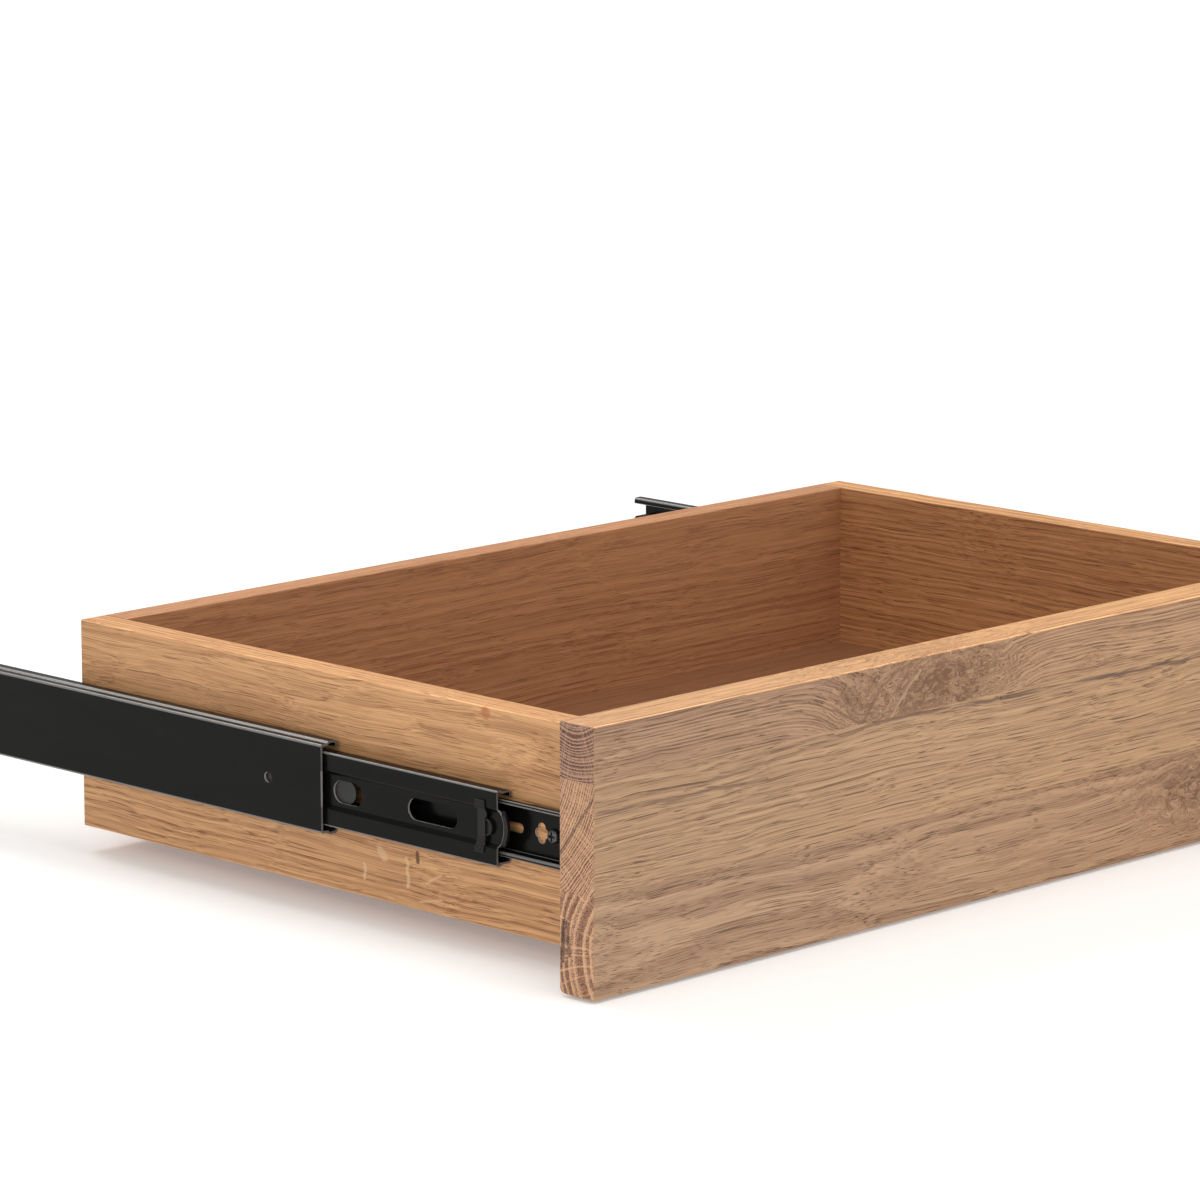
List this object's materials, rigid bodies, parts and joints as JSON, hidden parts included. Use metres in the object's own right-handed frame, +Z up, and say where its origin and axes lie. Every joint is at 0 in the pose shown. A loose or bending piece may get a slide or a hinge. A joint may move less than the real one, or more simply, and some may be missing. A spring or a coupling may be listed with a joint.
{
  "type": "under desk drawer",
  "caption": "Shallow oak drawer box with a glued stave front, carried on black full-extension ball-bearing slides that screw to a desk's carcass.",
  "frame": {"origin": "midway between the two carcass faces that the slides screw to, at the slides' centre height, in the plane of the closed drawer's face", "axes": "+X to the right seen from the front, +Y to the back of the desk, +Z up; the drawer opens along -Y"},
  "size_m": [0.606, 0.55, 0.125],
  "materials": {
    "stave_top_oak": "oiled oak",
    "stave_middle_oak": "oiled oak",
    "stave_bottom_oak": "oiled oak",
    "side_oak": "oiled oak",
    "back_oak": "oiled oak",
    "panel_oak": "oiled oak",
    "dowel_beech": "plain beech",
    "slide_black": "black electrophoretic coat, satin",
    "screw_black": "black, satin",
    "clip_plastic": "black moulded plastic",
    "stop_rubber": "black rubber",
    "cage_black": "black oxide, satin",
    "ball_steel": "polished steel balls"
  },
  "bodies": {
    "desk_side": {"outer_member_left": "slide_black", "outer_member_right": "slide_black", "rear_stop_left": "stop_rubber", "rear_stop_right": "stop_rubber"},
    "middle_left": {"middle_member_left": "slide_black", "retainer_clip_left": "clip_plastic", "front_bumper_left": "clip_plastic"},
    "middle_right": {"middle_member_right": "slide_black", "retainer_clip_right": "clip_plastic", "front_bumper_right": "clip_plastic"},
    "drawer": {"front_stave_top": "stave_top_oak", "front_stave_middle": "stave_middle_oak", "front_stave_bottom": "stave_bottom_oak", "side_left": "side_oak", "side_right": "side_oak", "back": "back_oak", "bottom_panel": "panel_oak", "front_dowels": "dowel_beech", "back_dowels": "dowel_beech", "inner_member_left": "slide_black", "inner_member_right": "slide_black", "inner_screws_left": "screw_black", "inner_screws_right": "screw_black"},
    "outer_bearing_left": {"outer_cage_left": "cage_black", "outer_balls_left": "ball_steel"},
    "outer_bearing_right": {"outer_cage_right": "cage_black", "outer_balls_right": "ball_steel"},
    "inner_bearing_left": {"inner_cage_left": "cage_black", "inner_balls_left": "ball_steel"},
    "inner_bearing_right": {"inner_cage_right": "cage_black", "inner_balls_right": "ball_steel"}
  },
  "joints": [
    {"name": "middle_left_slide", "type": "slide", "parent": "desk_side", "child": "middle_left", "axis": [0, -1, 0], "range_m": [-0.126, 0.049]},
    {"name": "middle_right_slide", "type": "slide", "parent": "desk_side", "child": "middle_right", "axis": [0, -1, 0], "range_m": [-0.126, 0.049]},
    {"name": "drawer_slide", "type": "slide", "parent": "middle_left", "child": "drawer", "axis": [0, -1, 0], "range_m": [-0.051, 0.124]},
    {"name": "outer_bearing_left_roll", "type": "slide", "parent": "desk_side", "child": "outer_bearing_left", "axis": [0, -1, 0], "range_m": [-0.063, 0.0245]},
    {"name": "outer_bearing_right_roll", "type": "slide", "parent": "desk_side", "child": "outer_bearing_right", "axis": [0, -1, 0], "range_m": [-0.063, 0.0245]},
    {"name": "inner_bearing_left_roll", "type": "slide", "parent": "middle_left", "child": "inner_bearing_left", "axis": [0, -1, 0], "range_m": [-0.0255, 0.062]},
    {"name": "inner_bearing_right_roll", "type": "slide", "parent": "middle_right", "child": "inner_bearing_right", "axis": [0, -1, 0], "range_m": [-0.0255, 0.062]}
  ],
  "couplings": [
    {"joint": "middle_right_slide", "follows": "middle_left_slide", "ratio": 1},
    {"joint": "outer_bearing_left_roll", "follows": "middle_left_slide", "ratio": 0.5},
    {"joint": "outer_bearing_right_roll", "follows": "middle_left_slide", "ratio": 0.5},
    {"joint": "inner_bearing_left_roll", "follows": "drawer_slide", "ratio": 0.5},
    {"joint": "inner_bearing_right_roll", "follows": "drawer_slide", "ratio": 0.5}
  ]
}
